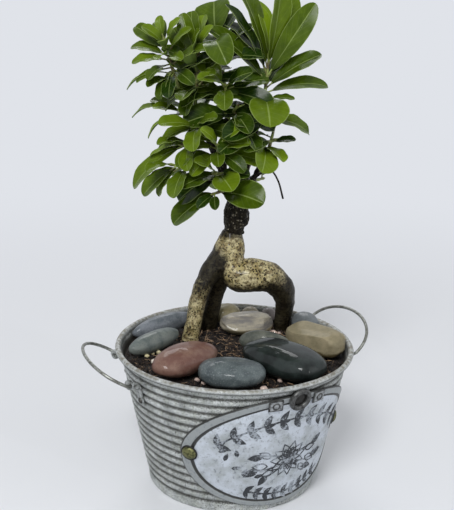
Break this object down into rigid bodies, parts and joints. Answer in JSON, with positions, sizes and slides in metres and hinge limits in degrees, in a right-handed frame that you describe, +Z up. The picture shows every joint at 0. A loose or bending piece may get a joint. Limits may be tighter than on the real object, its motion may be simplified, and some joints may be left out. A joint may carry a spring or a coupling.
{
  "type": "potted ficus bonsai",
  "caption": "Grafted ficus bonsai with a swollen trunk on bare roots, in a ribbed zinc bucket with swing handles, a label plate and river stones on the soil.",
  "frame": {"origin": "centre of the bucket's flat underside", "axes": "+Z up the bucket and the trunk; X runs through the two wire handles, which sit a little towards +Y; the label plate faces -Y, a little towards +X"},
  "size_m": [0.2069, 0.1917, 0.3375],
  "materials": {
    "galvanised_bucket": "galvanised zinc with a whitewashed, weathered film",
    "label_zinc": "pale weathered zinc sheet",
    "fittings_zinc": "dull galvanised steel",
    "aged_brass": "dull, aged",
    "rivet_steel": "dark, dull",
    "handle_wire": "satin zinc-plated wire",
    "peat_soil": "moist fibrous peat",
    "ficus_bark": "smooth khaki bark with lenticels",
    "scion_bark": "dark rough bark",
    "ficus_leaf": "glossy living leaf",
    "stone_slate_long": "wet, water-polished pebble",
    "stone_green_grey": "wet, water-polished pebble",
    "stone_red_brown": "wet, water-polished pebble",
    "stone_blue_grey": "wet, water-polished pebble",
    "stone_black_green": "wet, water-polished pebble",
    "stone_charcoal": "wet, water-polished pebble",
    "stone_mauve_striped": "wet, water-polished pebble",
    "stone_cream": "wet, water-polished pebble",
    "stone_beige_round": "wet, water-polished pebble",
    "stone_mauve_small": "wet, water-polished pebble",
    "stone_grey_back": "wet, water-polished pebble",
    "stone_tan": "wet, water-polished pebble",
    "grit_pink": "dry grit",
    "grit_yellow": "dry grit",
    "grit_white": "dry grit",
    "grit_front": "dry grit"
  },
  "bodies": {
    "pot": {"bucket": "galvanised_bucket", "label_plate": "label_zinc", "label_ring": "fittings_zinc", "label_clasp_left": "fittings_zinc", "label_clasp_right": "fittings_zinc", "label_rivet_left": "aged_brass", "label_rivet_right": "aged_brass", "ear_left_front": "fittings_zinc", "rivet_left_front": "rivet_steel", "ear_left_rear": "fittings_zinc", "rivet_left_rear": "rivet_steel", "ear_right_front": "fittings_zinc", "rivet_right_front": "rivet_steel", "ear_right_rear": "fittings_zinc", "rivet_right_rear": "rivet_steel", "soil": "peat_soil", "stone_slate_long": "stone_slate_long", "stone_green_grey": "stone_green_grey", "stone_red_brown": "stone_red_brown", "stone_blue_grey": "stone_blue_grey", "stone_black_green": "stone_black_green", "stone_charcoal": "stone_charcoal", "stone_mauve_striped": "stone_mauve_striped", "stone_cream": "stone_cream", "stone_beige_round": "stone_beige_round", "stone_mauve_small": "stone_mauve_small", "stone_grey_back": "stone_grey_back", "stone_tan": "stone_tan", "grit_pink": "grit_pink", "grit_yellow": "grit_yellow", "grit_white": "grit_white", "grit_front": "grit_front", "trunk": "ficus_bark", "scion": "scion_bark", "shoot_crown": "ficus_leaf", "shoot_collar": "ficus_leaf", "shoot_right_low": "ficus_leaf", "shoot_rosette": "ficus_leaf", "shoot_left_top": "ficus_leaf", "shoot_middle_top": "ficus_leaf", "shoot_middle_front": "ficus_leaf", "shoot_middle_light": "ficus_leaf", "shoot_left_reach": "ficus_leaf", "shoot_left_pale": "ficus_leaf", "shoot_left_fan": "ficus_leaf", "shoot_left_low": "ficus_leaf", "shoot_low_front": "ficus_leaf", "shoot_left_front": "ficus_leaf", "shoot_middle_high": "ficus_leaf", "shoot_leader_left": "ficus_leaf", "shoot_left_lap": "ficus_leaf", "shoot_left_rear": "ficus_leaf", "shoot_rear_low": "ficus_leaf", "shoot_back_right": "ficus_leaf", "shoot_back_left": "ficus_leaf", "shoot_back_top": "ficus_leaf", "shoot_back_crown": "ficus_leaf", "shoot_back_low": "ficus_leaf"},
    "left_handle": {"handle_left": "handle_wire"},
    "right_handle": {"handle_right": "handle_wire"}
  },
  "joints": [
    {"name": "left_handle_swing", "type": "hinge", "parent": "pot", "child": "left_handle", "pos_m": [-0.07841, 0.00963, 0.086], "axis": [0.1219, 0.9925, 0], "range_deg": [-119, 51]},
    {"name": "right_handle_swing", "type": "hinge", "parent": "pot", "child": "right_handle", "pos_m": [0.07841, 0.00963, 0.086], "axis": [0.1219, -0.9925, 0], "range_deg": [-133, 37]}
  ]
}
